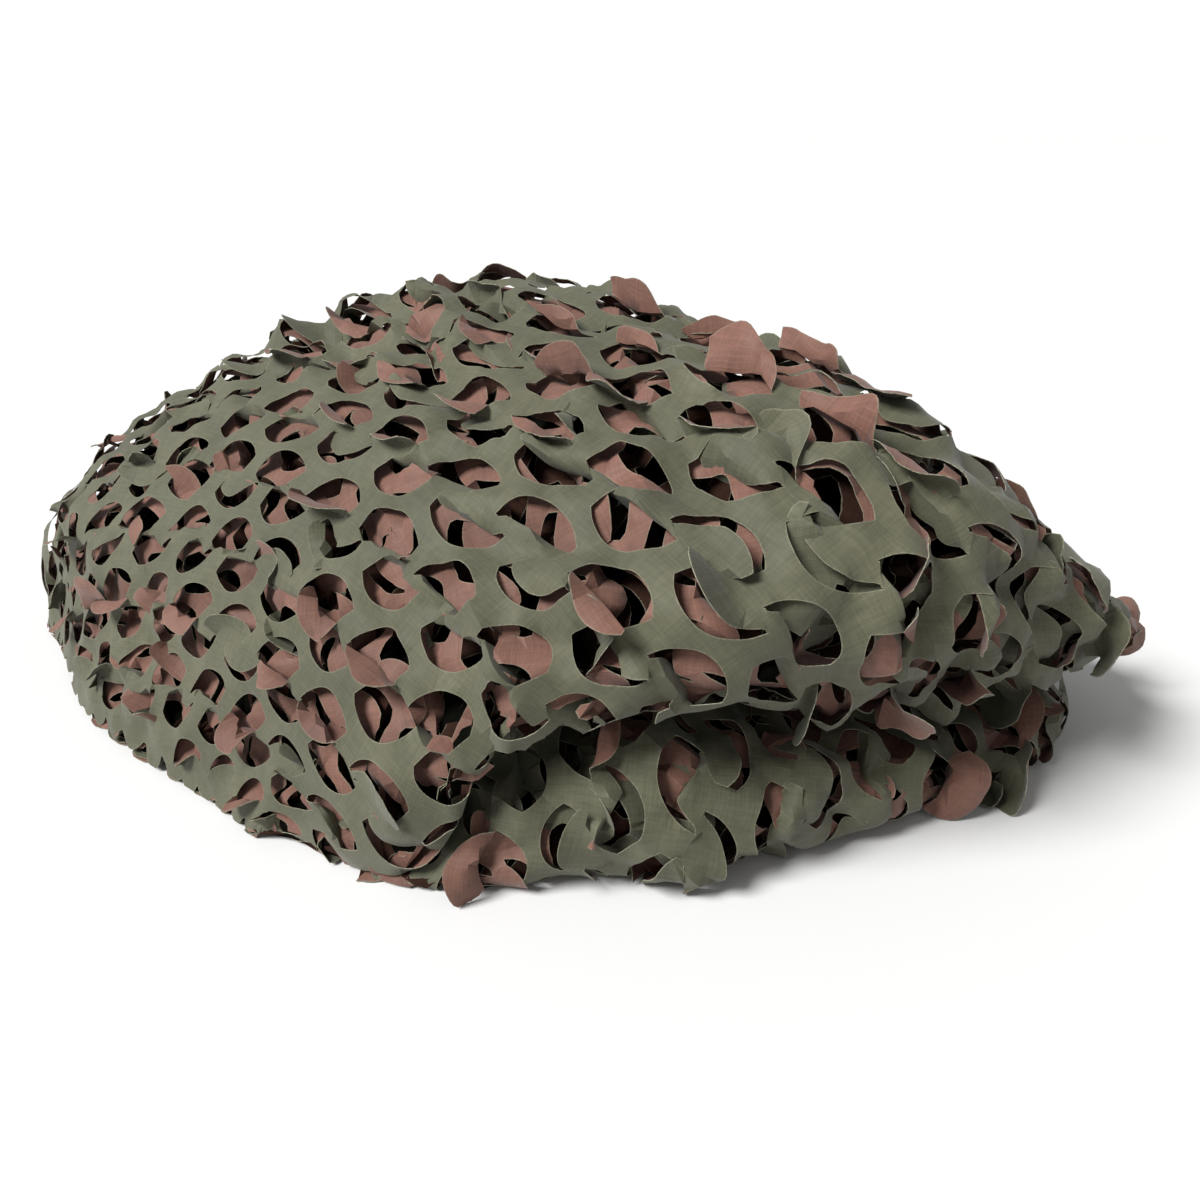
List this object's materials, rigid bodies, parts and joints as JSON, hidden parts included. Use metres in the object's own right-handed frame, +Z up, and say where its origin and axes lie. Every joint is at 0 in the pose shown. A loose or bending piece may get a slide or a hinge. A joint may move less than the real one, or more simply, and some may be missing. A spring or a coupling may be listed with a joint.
{
  "type": "camouflage net",
  "caption": "Die-cut camouflage net folded into a loose domed bundle with an open mouth along its front, lying on the ground.",
  "frame": {"origin": "middle of the bundle's box in plan, on the ground", "axes": "+Z up, +X along the open front to the right as seen from the front, +Y from the front to the rounded back"},
  "size_m": [0.9518, 0.7598, 0.3698],
  "materials": {
    "net_cloth": "matt coated ripstop, olive face and red-brown back"
  },
  "bodies": {
    "root": {"net": "net_cloth"}
  },
  "joints": []
}
